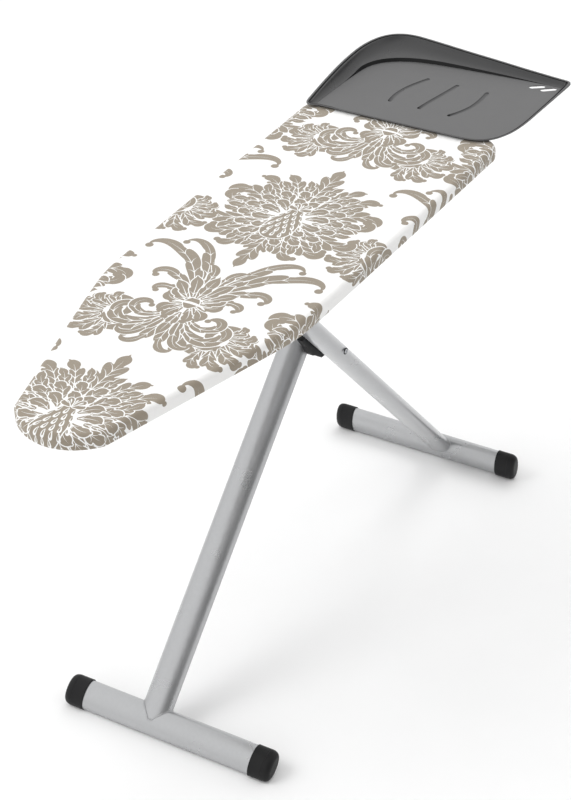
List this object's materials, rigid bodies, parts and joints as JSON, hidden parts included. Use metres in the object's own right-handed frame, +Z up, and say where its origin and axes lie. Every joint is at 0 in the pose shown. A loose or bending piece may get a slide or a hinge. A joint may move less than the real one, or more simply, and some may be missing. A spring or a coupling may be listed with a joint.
{
  "type": "ironing board",
  "caption": "Free-standing folding ironing board with a tapered fabric-covered top, crossed single-tube T legs and a moulded iron tray at the square end.",
  "frame": {"origin": "on the floor, under the middle of the whole board and tray (bottom centre of the bounding box)", "axes": "+X from the nose to the iron tray, +Y to the side of the front leg, +Z up"},
  "size_m": [1.5554, 0.4737, 0.938],
  "materials": {
    "cover_fabric": "woven cotton with a printed taupe damask",
    "cord_cotton": "braided cord",
    "pad_foam": "open-cell foam",
    "frame_steel": "satin powder coat",
    "zinc_steel": "bright zinc plate",
    "silver_tube": "satin silver paint",
    "black_plastic": "moulded, fine texture",
    "tray_plastic": "moulded grey, satin floor and glossy walls"
  },
  "bodies": {
    "board": {"fabric_cover": "cover_fabric", "cover_drawstring": "cord_cotton", "cord_toggle": "black_plastic", "foam_pad": "pad_foam", "mesh_top": "frame_steel", "frame_rim": "frame_steel", "cross_stays": "frame_steel", "rack_channel": "zinc_steel", "leg_bracket": "zinc_steel", "hinge_bolt": "zinc_steel", "hinge_nut": "zinc_steel", "frame_rivets": "zinc_steel", "lever_pin": "zinc_steel", "lever_spring": "zinc_steel", "tray_straps": "zinc_steel", "iron_tray": "tray_plastic", "tray_screws": "zinc_steel"},
    "lever": {"latch_comb": "zinc_steel", "lever_rod": "zinc_steel", "lever_grip": "black_plastic"},
    "front_leg": {"front_leg_tube": "silver_tube", "front_leg_plug": "black_plastic", "hinge_sleeve": "zinc_steel", "pivot_sleeve_front": "zinc_steel", "pivot_bolt": "zinc_steel", "pivot_nut": "zinc_steel", "front_foot_bar": "silver_tube", "front_cap_left": "black_plastic", "front_cap_right": "black_plastic"},
    "rear_leg": {"rear_leg_tube": "silver_tube", "rear_leg_plug": "black_plastic", "pivot_sleeve_rear": "zinc_steel", "pivot_spacer": "black_plastic", "slide_axle": "zinc_steel", "slide_shoes": "black_plastic", "rear_foot_bar": "silver_tube", "rear_cap_left": "black_plastic", "rear_cap_right": "black_plastic"}
  },
  "joints": [
    {"name": "front_leg_fold", "type": "hinge", "parent": "board", "child": "front_leg", "pos_m": [0.37515, 0, 0.845], "axis": [0, 1, 0], "range_deg": [0, 43.16]},
    {"name": "rear_leg_cross", "type": "hinge", "parent": "front_leg", "child": "rear_leg", "pos_m": [0.09127, 0, 0.57879], "axis": [0, 1, 0], "range_deg": [-91.41, 0]},
    {"name": "latch_squeeze", "type": "hinge", "parent": "board", "child": "lever", "pos_m": [-0.40083, 0, 0.861], "axis": [0, -1, 0], "range_deg": [0, 2.5], "stiffness_Nm_per_rad": 6, "springref_deg": -8.59}
  ],
  "couplings": [
    {"joint": "rear_leg_cross", "follows": "front_leg_fold", "ratio": -2.1179}
  ]
}
